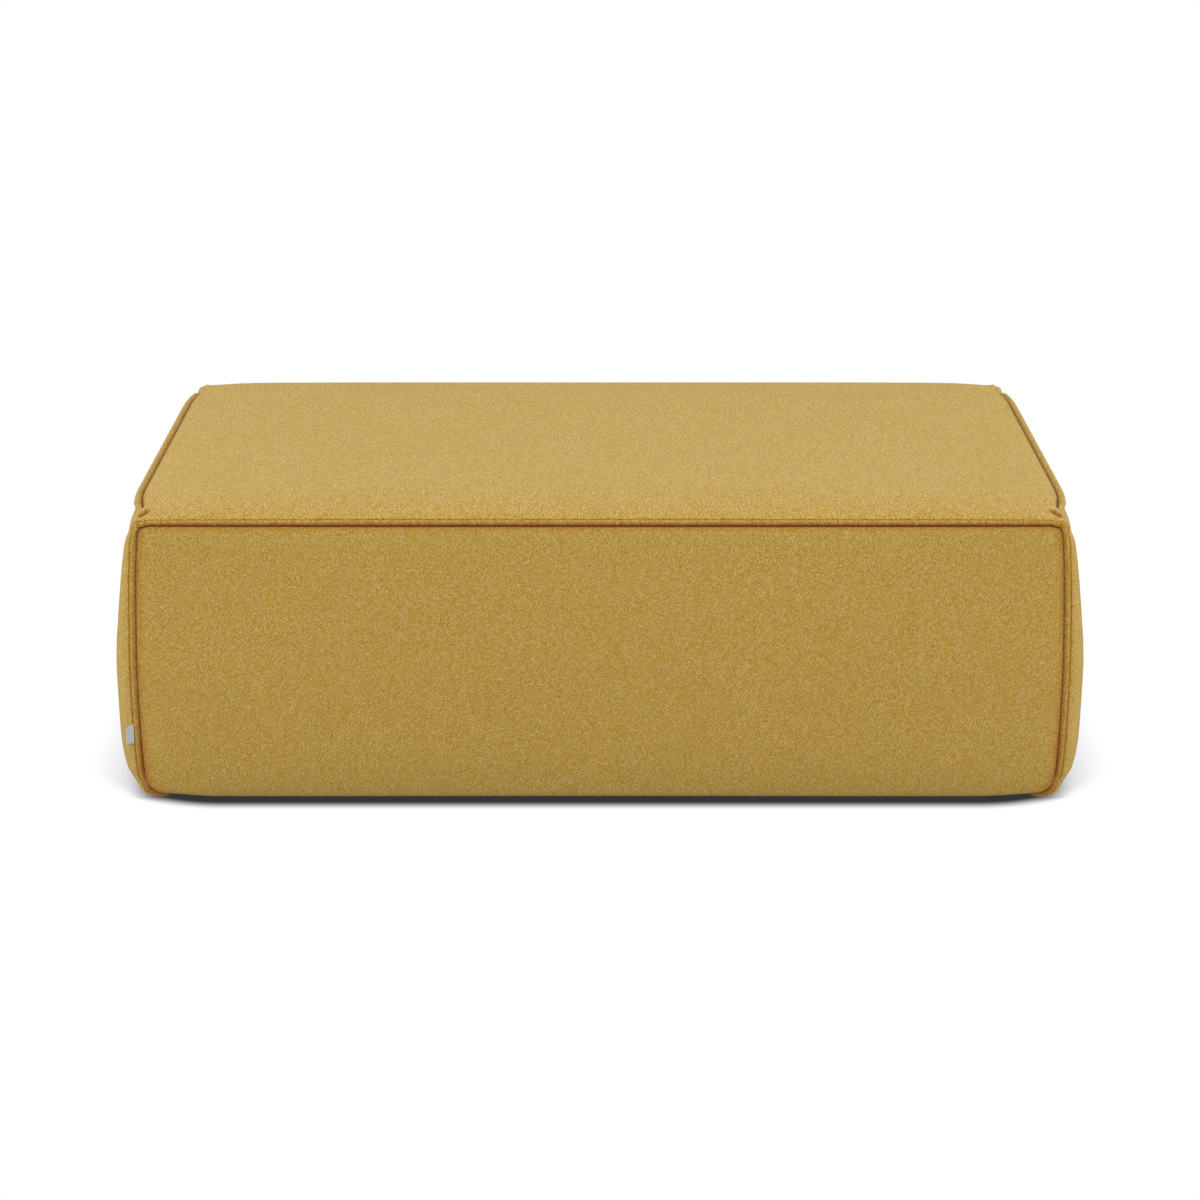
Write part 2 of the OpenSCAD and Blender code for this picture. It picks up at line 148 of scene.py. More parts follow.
class Finish:
    """One material or world while its nodes are being made."""

    def __init__(self, owner):
        owner.use_nodes = True
        self.owner, self.tree = owner, owner.node_tree
        self.tree.nodes.clear()

    def node(self, kind, sockets=None, **settings):
        """Adds a node, sets it up, feeds its sockets and returns its outputs by name."""
        made = self.tree.nodes.new("ShaderNode" + kind)
        for key, value in settings.items():
            setattr(made, key, value)
        for key, value in (sockets or {}).items():
            socket = next(s for s in made.inputs if key in (s.identifier, s.name))
            if isinstance(value, Flow):
                self.tree.links.new(value.socket, socket)
            else:
                socket.default_value = value
        return {s.identifier: Flow(self, s) for s in made.outputs}

    def maths(self, operation, *values):
        sockets = dict(zip(("Value", "Value_001", "Value_002"), values))
        return self.node("Math", sockets, operation=operation)["Value"]

    def noise(self, at, scale, detail=2.0, rough=0.5, dimensions="3D", output="Fac"):
        sockets = {"Vector": at, "Scale": scale, "Detail": detail, "Roughness": rough}
        return self.node("TexNoise", sockets, noise_dimensions=dimensions)[output]

    def cells(self, at, scale, dimensions="3D"):
        """Voronoi cells: the Distance from the middle of each, and its own Color."""
        sockets = {"Vector": at, "Scale": scale}
        return self.node("TexVoronoi", sockets, voronoi_dimensions=dimensions)

    def at(self, kind="Object", scale=(1, 1, 1)):
        """The place on the piece, in metres, stretched by scale."""
        here = self.node("TexCoord")[kind]
        return self.node("Mapping", {"Vector": here, "Scale": scale})["Vector"]

    def smooth(self, value, low, high):
        """Nothing under low, one over high, with a soft way between."""
        sockets = {"Value": value, "From Min": low, "From Max": high}
        return self.node("MapRange", sockets, interpolation_type="SMOOTHSTEP")["Result"]

    def ramp(self, value, stops):
        """Runs through the stops, each a place and a colour."""
        colour = self.node("ValToRGB", {"Fac": value})["Color"]
        elements = colour.socket.node.color_ramp.elements
        while len(elements) < len(stops):
            elements.new(0.5)
        for element, (place, tone) in zip(elements, stops):
            element.position, element.color = place, (*tone, 1)
        return colour

    def blend(self, share, first, second, how="MIX"):
        sockets = {"Factor_Float": share, "A_Color": first, "B_Color": second}
        return self.node("Mix", sockets, data_type="RGBA", blend_type=how)["Result_Color"]

    def tint(self, colour, by):
        return self.blend(1.0, colour, by, "MULTIPLY")

    def relief(self, height, depth, strength=1.0):
        sockets = {"Height": height, "Distance": depth, "Strength": strength}
        return self.node("Bump", sockets)["Normal"]

    def surface(self, **sockets):
        """Ends the material in a Principled shader. Underscores stand for spaces."""
        sockets = {key.replace("_", " "): value for key, value in sockets.items()}
        shader = self.node("BsdfPrincipled", sockets)["BSDF"]
        self.node("OutputMaterial", {"Surface": shader})
        return self.owner


def new_finish(name):
    return Finish(bpy.data.materials.new(name))


def plain_finish(name, patterns, tone, stops, rough, relief, bump, squeeze=(1, 1, 1), **more):
    """A finish of a few patterns: noises, or cells where a scale stands alone. tone and relief
    are the share of each pattern, bump is the depth and strength of the relief, and rough is
    a value and then the shares that are added to it."""
    finish = new_finish(name)
    here = finish.at(scale=squeeze)
    drawn = [
        finish.noise(here, *row) if len(row) > 1 else finish.cells(here, *row)["Distance"]
        for row in patterns
    ]

    def mixed(shares, start=0):
        for pattern, share in zip(drawn, shares):
            start = start + pattern * share if share else start
        return start

    return finish.surface(
        Base_Color=finish.ramp(mixed(tone), stops),
        Roughness=mixed(rough[1:], rough[0]),
        Normal=finish.relief(mixed(relief), *bump),
        **more,
    )


# %% [markdown]
# ## Floor, world and lamps
#
# The picture stands the ottoman on pure white, with a thin dark line where the cover hangs just
# over the floor and a soft grey beside each end. To the camera the floor is white light with a
# painted shadow in it: the dark line follows the plan of the foot, and the grey comes from how
# much of the object closes in over each point. To everything else it is a pale floor that
# bounces soft light.

# %% Floor
CAMERA_WHITE = (1, 1, 1, 1)
FLOOR_PALE = (0.62, 0.61, 0.60, 1)
# The floor's painted shadow: a rounded plan round the foot, where it fades, how dark it gets, and
# a grey halo from ambient occlusion
SHADOW_X, SHADOW_Y, SHADOW_R = 0.507, 0.2062, 0.1945  # centres and radius of its round corners
SHADOW_EDGE = (-0.0115, 0.0225)  # from where to where it fades
SHADOW_ENDS = (0.585, 0.650)  # the same beside the ends
SHADOW_DARK = 0.036
HALO_REACH, HALO_LEVEL = 0.140, 4.4


def seen_or_not(finish, seen, other):
    """One shader where the camera, a mirror or glass looks, another for light on its way."""
    ray = finish.node("LightPath")
    looks = ray["Is Camera Ray"] + ray["Is Glossy Ray"] + ray["Is Transmission Ray"]
    share = finish.maths("MINIMUM", looks, 1.0)
    return finish.node("MixShader", {"Fac": share, "Shader": other, "Shader_001": seen})["Shader"]


def floor_finish():
    finish = new_finish("pale_floor")
    place = finish.node("SeparateXYZ", {"Vector": finish.at()})
    across, deep = (finish.maths("ABSOLUTE", place[axis]) for axis in "XY")
    past_x = finish.maths("MAXIMUM", across - SHADOW_X, 0.0)
    past_y = finish.maths("MAXIMUM", deep - SHADOW_Y, 0.0)
    front = finish.smooth((past_x**2.0 + past_y**2.0) ** 0.5 - SHADOW_R, *SHADOW_EDGE)
    beside = finish.smooth(across, *SHADOW_ENDS)
    lit = finish.maths("MAXIMUM", front, beside)
    space = {"Distance": HALO_REACH, "Color": CAMERA_WHITE}
    open_share = finish.node("AmbientOcclusion", space, samples=16)["AO"]
    halo = (1 - open_share) ** 4.0 * HALO_LEVEL * (1 - front) * beside
    fade = finish.maths("EXPONENT", 0 - halo)
    # painted shadow: the camera's white is darkened by the foot's plan and the occlusion halo
    shade = (lit * (1 - SHADOW_DARK) + SHADOW_DARK) * fade
    white = finish.node("Emission", {"Strength": shade, "Color": CAMERA_WHITE})["Emission"]
    pale = finish.node("BsdfDiffuse", {"Color": FLOOR_PALE})["BSDF"]
    finish.node("OutputMaterial", {"Surface": seen_or_not(finish, white, pale)})
    return finish.owner


floor_mesh = bpy.data.meshes.new("floor")
with editing(floor_mesh) as floor_shape:
    bmesh.ops.create_grid(floor_shape, x_segments=1, y_segments=1, size=14)
floor_mesh.materials.append(floor_finish())
floor = add_object("floor", floor_mesh)
floor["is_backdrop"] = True

# %% World and lamps
SKY_LEVEL, SKY_COLOUR = 0.62, (1, 0.99, 0.97, 1)
LAMPS = {  # place, point that it looks at, size and power
    "overhead_lamp": ((0, 0.3, 3.4), (0, 0, 0.2), 3.2, 43),
    "front_lamp": ((0, -4.6, 2.2), (0, 0, 0.25), 3.0, 85),
    "left_lamp": ((-3.4, -0.6, 1.2), (0, 0, 0.2), 2.0, 52),
    "right_lamp": ((3.4, -0.6, 1.2), (0, 0, 0.2), 2.0, 52),
}
world = bpy.data.worlds.new("studio")
bpy.context.scene.world = world
sky = Finish(world)
soft_sky = sky.node("Background", {"Color": SKY_COLOUR, "Strength": SKY_LEVEL})["Background"]
backdrop = sky.node("Background", {"Color": CAMERA_WHITE, "Strength": 1.0})["Background"]
sky.node("OutputWorld", {"Surface": seen_or_not(sky, backdrop, soft_sky)})


def soft_box(name, place, aim, size, power):
    """A square area lamp that looks at a point."""
    data = bpy.data.lights.new(name, "AREA")
    data.shape = "SQUARE"
    data.size = size
    data.energy = power
    lamp = add_object(name, data)
    lamp.location = place
    lamp.rotation_euler = (Vector(aim) - Vector(place)).to_track_quat("-Z", "Y").to_euler()


for name, lamp_row in LAMPS.items():
    soft_box(name, *lamp_row)
print("floor, world and", len(LAMPS), "soft lamps")

# %% [markdown]
# ## The form of the cover
#
# Five panels are sewn together round foam: a crowned top, two long walls and two fuller ends.
# Each is a formula of two running values, so that neighbours meet in the same seam line. A
# quarter-ellipse rise gives the round shoulder of stuffed cloth: steep at the seam, level
# further in. The values are close to those of the construction model, in metres.

# %% Values of the cover
MM = 0.001
HALF_W, HALF_D = 0.610, 0.400
SEAM_Z, FOOT_Z = 0.392, 0.0105
WALL_H = SEAM_Z - FOOT_Z
CROWN, CROWN_RUN = 0.025, 0.100
END_BULGE, END_RUN = 0.049, 0.225
FRONT_BULGE, FRONT_RUN = 0.014, 0.130
BULGE_DROP, BULGE_LIFT, SWELL_POWER = 0.198, 0.082, 1.12
CORNER_BOW, CORNER_BOW_RUN, CORNER_BOW_POWER = 0.0084, 0.220, 1.5
END_SEAM_BOW, END_SEAM_RISE, FRONT_SEAM_BOW = 0.012, 0.009, 0.003
SEAM_BOW_RUN, SEAM_BOW_POWER = 0.196, 3.0
END_FOOT, FRONT_FOOT = (0.027, 0.026), (0.008, 0.008)  # how far in, from how high
HEM_X, HEM_Y = 0.550, 0.340
LONG, SHORT = (HALF_W, END_FOOT, HEM_X), (HALF_D, FRONT_FOOT, HEM_Y)
END_ROLL, END_ROLL_DROP = 0.0061, 0.045
FOOT_PINCH, FOOT_DIP = 0.0035, 0.0035  # corner seam up, end band down, at the foot
CORNER_DRAW, DRAW_PLACE, DRAW_SPREAD = 0.0040, 0.045, 0.035
DRAW_DOWN, DRAW_ACROSS = 0.025, 0.030
SHOULDER, SHOULDER_DROP = 0.0055, 0.008  # how far in the end's upper seam lies
WAIST, WAIST_DROP, WAIST_SPREAD = 0.0042, 0.018, 0.009  # just under the end's upper band
MIDDLE_BOW, MIDDLE_BOW_FROM, MIDDLE_BOW_TO = 0.0030, 0.060, 0.150
FOOT_IN, FOOT_IN_LIFT, FOOT_IN_SPREAD = 0.0045, 0.021, 0.009
PINCH_RUN, BESIDE_RUN = (0.005, 0.080), (0.020, 0.080)  # from the corner seam
ROLL_RUN, ROLL_KEPT, FOLD_RUN = 0.007, 0.2, 0.008
CLOTH_GIVE = 0.005  # how far the cloth is left to swell by itself


def rise(t, power=2.0):
    t = np.clip(t, 0, 1)
    return (1 - (1 - t) ** power) ** (1 / power)


def ease(x, start, end):
    """Goes smoothly from 0 at start to 1 at end."""
    t = np.clip((x - start) / (end - start), 0, 1)
    return t * t * (3 - 2 * t)


def running(share):
    """Turns 0 to 1 into -1 to 1, slowing down at both ends, where the cloth turns most."""
    return -np.cos(np.pi * share)


def hump(x, middle, spread):
    return np.exp(-(((x - middle) / spread) ** 2))


def seam_bow(edge):
    """How full the bow of an upper seam is, at a distance from the corner seam."""
    return rise(edge / SEAM_BOW_RUN, SEAM_BOW_POWER)


def end_bow(edge):
    middle = MIDDLE_BOW * ease(edge, MIDDLE_BOW_FROM, MIDDLE_BOW_TO)
    return END_SEAM_BOW * seam_bow(edge) + middle


def top_form(a, b):
    """The top panel, for a from left to right and b from front to back."""
    u, v = running(a), running(b)
    edge_u, edge_v = (1 - abs(u)) * HALF_W, (1 - abs(v)) * HALF_D
    bow_u, bow_v = seam_bow(edge_u), seam_bow(edge_v)
    crown_u, crown_v = rise(edge_u / CROWN_RUN), rise(edge_v / CROWN_RUN)
    x = u * (HALF_W + end_bow(edge_v) - SHOULDER * bow_v)
    y = v * (HALF_D + FRONT_SEAM_BOW * bow_u)
    up = (CROWN - CLOTH_GIVE) * crown_u * crown_v + END_SEAM_RISE * bow_v * (1 - crown_u)
    return drawn_in(np.stack([x, y, SEAM_Z + up], -1))


def drawn_in(points):
    """Draws the ends in a little, just behind each top corner."""
    x, y, z = np.moveaxis(points, -1, 0)
    beside = HALF_D - abs(y) - DRAW_PLACE
    inside = np.maximum(HALF_W - abs(x), 0)
    near = np.exp(-np.maximum(SEAM_Z - z, 0) / DRAW_DOWN - (beside / DRAW_SPREAD) ** 2)
    pull = CORNER_DRAW * near * np.exp(-inside / DRAW_ACROSS)
    return points - np.stack([np.sign(x) * pull, 0 * x, 0 * x], -1)


def turned_under(lift, foot):
    """How far a corner seam turns in under the foot, at a height over it."""
    reach, height = foot
    return reach * (1 - rise(lift / height))


def wall_base(a, w, sideways, outwards, bulge, run):
    """A wall that faces -Y, still flat between its corner seams: a from its left to its right,
    w from the top seam (0) to the foot (1) and on under the frame (2). sideways and outwards
    each give the seam's distance from the middle, its foot and its hem. Gives the points' x
    and way out, and how far they are from the corner seam, from the top, over the foot, under
    the frame, from the full bulge and down towards the foot."""
    t = running(a)
    drop = WALL_H * (1 + running(np.minimum(w, 1))) / 2
    lift, under = WALL_H - drop, np.maximum(w - 1, 0)
    bow = CORNER_BOW * rise(drop / CORNER_BOW_RUN, CORNER_BOW_POWER)
    bow = bow * rise(lift / CORNER_BOW_RUN)
    reach = []
    for half, foot, hem in (sideways, outwards):
        edge = half + bow - turned_under(lift, foot)
        reach.append(edge + under * (hem - half + foot[0]))
    edge = (1 - abs(t)) * sideways[0]
    swell = rise(drop / BULGE_DROP, SWELL_POWER)
    belly = (bulge - CLOTH_GIVE) * rise(edge / run) * swell * rise(lift / BULGE_LIFT)
    low = (drop / WALL_H) ** 8 * np.maximum(0, 1 - 2 * under)
    return t * reach[0], reach[1] + belly, edge, drop, lift, under, 1 - swell, low


def long_wall(a, w):
    x, out, edge, _, lift, _, slack, low = wall_base(a, w, LONG, SHORT, FRONT_BULGE, FRONT_RUN)
    pinch = FOOT_PINCH * (1 - ease(edge, *PINCH_RUN))
    y = -(out + FRONT_SEAM_BOW * seam_bow(edge) * slack)
    return drawn_in(np.stack([x, y, FOOT_Z + lift + pinch * low], -1))


def end_wall(a, w):
    base = wall_base(a, w, SHORT, LONG, END_BULGE, END_RUN)
    x, out, edge, drop, lift, under, slack, low = base
    beside = 1 - ease(edge, *BESIDE_RUN)
    roll = END_ROLL * rise(edge / ROLL_RUN) * rise(drop / END_ROLL_DROP)
    roll = roll * (ROLL_KEPT + (1 - ROLL_KEPT) * beside)
    share = seam_bow(edge)
    fold = rise(edge / FOLD_RUN)
    pinch = FOOT_PINCH * (1 - fold) - FOOT_DIP * fold * beside
    near_top = np.maximum(0, 1 - drop / BULGE_DROP) ** 2
    inward = FOOT_IN * beside * hump(lift, FOOT_IN_LIFT, FOOT_IN_SPREAD)
    inward = inward + SHOULDER * share * (1 - rise(drop / SHOULDER_DROP))
    inward = inward + WAIST * share * hump(drop, WAIST_DROP, WAIST_SPREAD)
    y = -(out + roll * (1 - under) + end_bow(edge) * slack - inward)
    z = FOOT_Z + lift + END_SEAM_RISE * share * near_top + pinch * low
    turned = drawn_in(np.stack([-y, x, z], -1))
    return np.stack([turned[..., 1], -turned[..., 0], turned[..., 2]], -1)


# %% [markdown]
# ## Rows of a panel
#
# A sewn seam needs fine rows: the fold, the raised band of seam allowance and the stitch line
# lie within a centimetre. The middle of a panel needs few. So each panel is walked with a
# tape: a dense line of points is measured from seam to seam, and the rows are set at chosen
# distances along it.

# %% Row spacing
SEAM_ROWS = np.array(
    [0, 0.4, 0.9, 1.5, 2.2, 3, 4, 5, 6, 7, 7.8, 8.4, 9, 9.6, 10.2, 11, 12.2, 13.6, 15.2]
    + [*range(17, 44, 2), 45.5, *range(48, 85, 3), 88, 93, 100]
) * MM
BAND_W = 7.8 * MM  # from the seam to the stitch line
STITCH_ROW = int(np.argmin(abs(SEAM_ROWS - BAND_W)))
CALM_ROW = int(np.argmin(abs(SEAM_ROWS - 5 * MM)))
FOOT_ROWS = np.arange(0, 50) * 2.4 * MM
MIDDLE_STEP = 10 * MM
DENSE = 900  # points of a line that is walked with the tape


def tape(points):
    """Distance walked along lines of points, from the first of each."""
    steps = np.linalg.norm(np.diff(points, axis=1), axis=2)
    return np.concatenate([np.zeros((len(points), 1)), np.cumsum(steps, axis=1)], axis=1)


def lay_rows(form, first, end, tail, count, swap):
    """Places of the rows on each line of a form. The lines are held at the values first, and
    walked from 0 to end. The far end has the rows of tail, the middle has count steps, and
    swap says that the walk goes along a."""
    second = np.linspace(0, end, DENSE)
    grid = np.meshgrid(first, second, indexing="ij")
    walked = tape(form(grid[1], grid[0]) if swap else form(*grid))
    rows = []
    for line in walked:
        middle = np.linspace(SEAM_ROWS[-1], line[-1] - tail[-1], count + 1)[1:-1]
        rows.append(np.concatenate([SEAM_ROWS, middle, line[-1] - tail[::-1]]))
    rows = np.array(rows)
    values = np.array([np.interp(r, w, second) for r, w in zip(rows, walked)])
    return rows, values, walked[:, -1]


def panel_rows(form, across, down, down_end, down_tail):
    """Running values, and distances from the four edges, of every point of a panel."""
    n_across = round((across - 2 * SEAM_ROWS[-1]) / MIDDLE_STEP)
    n_down = round((down - SEAM_ROWS[-1] - down_tail[-1]) / MIDDLE_STEP)
    cross_lines = 1, SEAM_ROWS, n_across, True
    down_lines = down_end, down_tail, n_down, False
    middle = np.full(1, 0.5)
    start_b = lay_rows(form, middle, *down_lines)[1][0]
    start_a = lay_rows(form, middle, *cross_lines)[1][0]
    from_left, a, width = lay_rows(form, start_b, *cross_lines)
    from_top, b, height = lay_rows(form, start_a, *down_lines)
    return {
        "a": a.T,
        "b": b,
        "left": from_left.T,
        "right": width[None, :] - from_left.T,
        "start": from_top,
        "end": height[:, None] - from_top,
    }


LONG_SIDE, SHORT_SIDE, WALL_DOWN = 1.246, 0.826, 0.430  # about what the tape will say
KINDS = {  # form, sizes across and down, last value down and the rows there
    "top": (top_form, LONG_SIDE, SHORT_SIDE, 1, SEAM_ROWS),
    "long": (long_wall, LONG_SIDE, WALL_DOWN, 2, FOOT_ROWS),
    "end": (end_wall, SHORT_SIDE, WALL_DOWN, 2, FOOT_ROWS),
}
kind_rows = {kind: panel_rows(*layout) for kind, layout in KINDS.items()}
for kind, rows in kind_rows.items():
    size = [rows["left"][-1].mean(), rows["start"][:, -1].mean()]
    print(kind, "rows", rows["a"].shape, "taped size", np.round(size, 3))

# %% [markdown]
# ## The cloth swells
#
# A stuffed cover is never as even as a formula. Each panel is therefore made a little flat,
# pinned along its seams as a coarse sheet of cloth, and blown up for twenty frames with
# Blender's Cloth. The pad under the cloth keeps it from moving inwards, so only the way out
# counts: it says where the cloth's own swelling is full and where it stays slack. The seams
# come after this, since a coarse sheet can't hold them.

# %% Cloth simulation
CLOTH_STEP = 14 * MM
CLOTH_FULL = 9 * MM  # moved this far, the trial cloth counts as full
CLOTH_FRAMES = 20
TRIAL_DOWN = 0.395  # how far down a wall's trial sheet goes, to the foot
SLACK, PLAY = 0.75, 0.35  # the least swelling, and what the trial adds to it
SWELL_RUN = 0.25  # the share of a panel in which its cloth reaches its full swelling
WAY_OUT = {"top": (0, 0, 1), "long": (0, -1, 0), "end": (0, -1, 0)}
CLOTH_SETTINGS = {
    "quality": 6,
    "mass": 0.3,
    "air_damping": 6,
    "tension_stiffness": 40,
    "compression_stiffness": 40,
    "shear_stiffness": 5,
    "bending_stiffness": 0.5,
    "use_pressure": True,
    "uniform_pressure_force": 0.5,
    "vertex_group_mass": "seam",
}


def even_swelling(name, count_a, count_b):
    """The swelling of a panel that is equally full all over, on an even grid."""
    a, b = np.meshgrid(np.linspace(0, 1, count_a), np.linspace(0, 1, count_b), indexing="ij")
    from_edge = rise(np.minimum(a, 1 - a) / SWELL_RUN) * rise(np.minimum(b, 1 - b) / SWELL_RUN)
    return (from_edge * CLOTH_GIVE)[..., None] * np.array(WAY_OUT[name], float)


def coarse_values(form, lines, swap):
    """Evenly taped running values, from the first edge to the last."""
    dense = np.linspace(0, 1, DENSE)
    middle = np.full_like(dense, 0.5)
    walked = tape((form(middle, dense) if swap else form(dense, middle))[None])[0]
    return np.interp(np.linspace(0, walked[-1], lines + 1), walked, dense)


def cloth_sheet(name):
    """A coarse sheet with pinned edges that has the Cloth modifier, still flat."""
    form, across, down = KINDS[name][:3]
    wall = name != "top"
    lines = round(across / CLOTH_STEP), round((TRIAL_DOWN if wall else down) / CLOTH_STEP)
    a = coarse_values(form, lines[0], False)
    b = coarse_values(form, lines[1], True)
    points = form(*np.meshgrid(a, b, indexing="ij"))
    sheet = grid_piece("trial_" + name, points[:, ::-1] if wall else points)
    flat = np.zeros(points.shape[:2], bool)
    flat[[0, -1]] = flat[:, [0, -1]] = True
    seam = sheet.vertex_groups.new(name="seam")
    seam.add([int(k) for k in np.nonzero(flat.T.ravel())[0]], 1.0, "REPLACE")
    cloth = sheet.modifiers.new("cloth", "CLOTH")
    for key, value in CLOTH_SETTINGS.items():
        setattr(cloth.settings, key, value)
    cloth.settings.effector_weights.gravity = 0
    cloth.point_cache.frame_start, cloth.point_cache.frame_end = 1, CLOTH_FRAMES
    return sheet, points


def corners_of(mesh):
    place = np.empty(len(mesh.vertices) * 3)
    mesh.vertices.foreach_get("co", place)
    return place.reshape(-1, 3)


def grid_piece(name, points, metres=None, shade=None):
    """An object whose mesh is an even grid with its corners moved to the given points. metres
    are its taped coordinates, and shade is the painted seam shade of each point, kept as an
    attribute."""
    count = points.shape[0] - 1, points.shape[1] - 1
    mesh = bpy.data.meshes.new(name)
    with editing(mesh) as shape:
        bmesh.ops.create_grid(shape, x_segments=count[0], y_segments=count[1], size=1)
    i, j = np.rint((corners_of(mesh)[:, :2] + 1) / 2 * count).astype(int).T
    mesh.vertices.foreach_set("co", points[i, j].ravel())
    if metres is not None:
        corner = np.empty(len(mesh.loops), np.int32)
        mesh.loops.foreach_get("vertex_index", corner)
        mesh.uv_layers.new(name="taped").data.foreach_set("uv", metres[i, j][corner].ravel())
    if shade is not None:
        mesh.attributes.new("seam_shade", "FLOAT", "POINT").data.foreach_set("value", shade[i, j])
    mesh.shade_smooth()
    mesh.update()
    return add_object(name, mesh)


def blow_up():
    """Runs all trial sheets together and gives each panel's swelling."""
    sheets = {name: cloth_sheet(name) for name in KINDS}
    for number in range(1, CLOTH_FRAMES + 1):
        bpy.context.scene.frame_set(number)
    graph = bpy.context.evaluated_depsgraph_get()
    moved = {}
    for name, (sheet, points) in sheets.items():
        place = corners_of(sheet.evaluated_get(graph).to_mesh())
        place = place.reshape(points.shape[1], points.shape[0], 3).transpose(1, 0, 2)
        if name != "top":
            place = place[:, ::-1]
        out = (place - points) @ np.array(WAY_OUT[name], float)
        full = np.clip(out / CLOTH_FULL, 0, 1)[..., None]
        moved[name] = even_swelling(name, *points.shape[:2]) * (SLACK + PLAY * full)
        print("cloth", name, points.shape[:2], "moved out up to", round(out.max() / MM, 1), "mm")
    for sheet, _ in sheets.values():
        bpy.data.objects.remove(sheet)
    bpy.context.scene.frame_set(1)
    return moved


swelling = blow_up()

# %% [markdown]
# ## Fine panels
#
# The swelling of the coarse sheet is read at the fine rows with a smooth curve through four
# neighbouring values, in both directions.


# %% Carry the swelling over
def curve_weights(share, count):
    """Weights of count + 1 even values at each share from 0 to 1, for a smooth curve."""
    place = np.clip(share, 0, 1) * count
    base = np.minimum(place.astype(int), count - 1)
    t = place - base
    cubic = (
        -0.5 * t + t**2 - 0.5 * t**3,
        1 - 2.5 * t**2 + 1.5 * t**3,
        0.5 * t + 2 * t**2 - 1.5 * t**3,
        -0.5 * t**2 + 0.5 * t**3,
    )
    weights = np.zeros((len(share), count + 1))
    for offset, part in zip((-1, 0, 1, 2), cubic):
        np.add.at(weights, (np.arange(len(share)), np.clip(base + offset, 0, count)), part)
    return weights


def swollen_points(kind, foot):
    """Points of a panel with the cloth's own swelling. foot is the distance of the foot edge
    from the last row, so that nothing under the frame moves."""
    form, rows, move = KINDS[kind][0], kind_rows[kind], swelling[kind]
    across = (rows["left"] / (rows["left"] + rows["right"])).mean(1)
    down = (rows["start"] / (rows["start"] + rows["end"] - foot)).mean(0)
    by_a = curve_weights(across, move.shape[0] - 1)
    by_b = curve_weights(down, move.shape[1] - 1)
    carried = np.einsum("ik,klc,jl->ijc", by_a, move, by_b, optimize=True)
    return form(rows["a"], rows["b"]) + carried


HEMS = {"top": 0, "long": HALF_D - FRONT_FOOT[0] - HEM_Y, "end": HALF_W - END_FOOT[0] - HEM_X}
kind_points = {kind: swollen_points(kind, hem) for kind, hem in HEMS.items()}
print("points of each kind:", {kind: points.shape[:2] for kind, points in kind_points.items()})

# %% [markdown]
# ## Turning the walls and finding the seams
#
# Both long walls are one shape, turned half round, and so are the ends. At a seam, both
# neighbours sink in the same direction, half way between their own, or the groove would gape.
# The rows nearest a seam are too steep to give a direction, so it is read five millimetres in.


# %% Walls in place
def turn(points, quarter):
    """Turns points by quarters of a circle about the upright axis."""
    cos, sin = ((1, 0), (0, 1), (-1, 0), (0, -1))[quarter]
    x, y, z = np.moveaxis(points, -1, 0)
    return np.stack([cos * x - sin * y, sin * x + cos * y, z], -1)


def outward(points, wall):
    """The direction in which each point of a panel faces."""
    along_a = np.gradient(points, axis=0)
    along_b = np.gradient(points, axis=1)
    facing = unit(np.cross(along_b, along_a) if wall else np.cross(along_a, along_b))
    k = CALM_ROW
    facing[:k] = facing[k]
    facing[-k:] = facing[-k - 1]
    facing[:, :k] = facing[:, k : k + 1]
    if not wall:
        facing[:, -k:] = facing[:, -k - 1 : -k]
    return facing


def unit(vectors):
    return vectors / np.maximum(np.linalg.norm(vectors, axis=-1, keepdims=True), 1e-12)


WALL_RING = {"front": "long", "right": "end", "back": "long", "left": "end"}
PANELS = {"top": "top", **WALL_RING}  # which kind each panel is
place = {"top": kind_points["top"]}
for quarter, (name, kind) in enumerate(WALL_RING.items()):
    place[name] = turn(kind_points[kind], quarter)
faces = {name: outward(points, name != "top") for name, points in place.items()}
all_rows = {name: kind_rows[kind] for name, kind in PANELS.items()}
gap = abs(place["left"][-1][:5] - place["front"][0][:5]).max()
print("left end's corner seam to the front's:", round(gap / MM, 3), "mm apart")


# %% Seam directions
TURN_RUN = 8 * MM  # near a corner, a seam's direction turns to that of the corner
TOP_EDGES = {  # the top panel's edge along each wall, in that wall's own order
    "front": np.s_[:, 0],
    "right": np.s_[-1],
    "back": np.s_[::-1, -1],
    "left": np.s_[0, ::-1],
}
ring = list(WALL_RING)
WALL_AFTER = dict(zip(ring, ring[1:] + ring[:1]))
WALL_BEFORE = {after: name for name, after in WALL_AFTER.items()}


def turned_to(corner, seam, distance):
    near = ease(distance, 0, TURN_RUN)[:, None]
    return near * seam + (1 - near) * corner


corner_way, head_way, side_way = {}, {}, {}  # a corner goes by the wall before it
for name, after in WALL_AFTER.items():
    three = faces[name][-1, 0] + faces[after][0, 0] + faces["top"][TOP_EDGES[name]][-1]
    corner_way[name] = unit(three)
for name, after in WALL_AFTER.items():
    rows = all_rows[name]
    seam = unit(faces[name][:, 0] + faces["top"][TOP_EDGES[name]])
    seam = turned_to(corner_way[WALL_BEFORE[name]], seam, rows["left"][:, 0])
    head_way[name] = unit(turned_to(corner_way[name], seam, rows["right"][:, 0]))
    seam = unit(faces[name][-1] + faces[after][0])
    side_way[name] = unit(turned_to(corner_way[name], seam, rows["start"][-1]))
print("directions of", len(head_way), "top seams and", len(side_way), "corner seams")
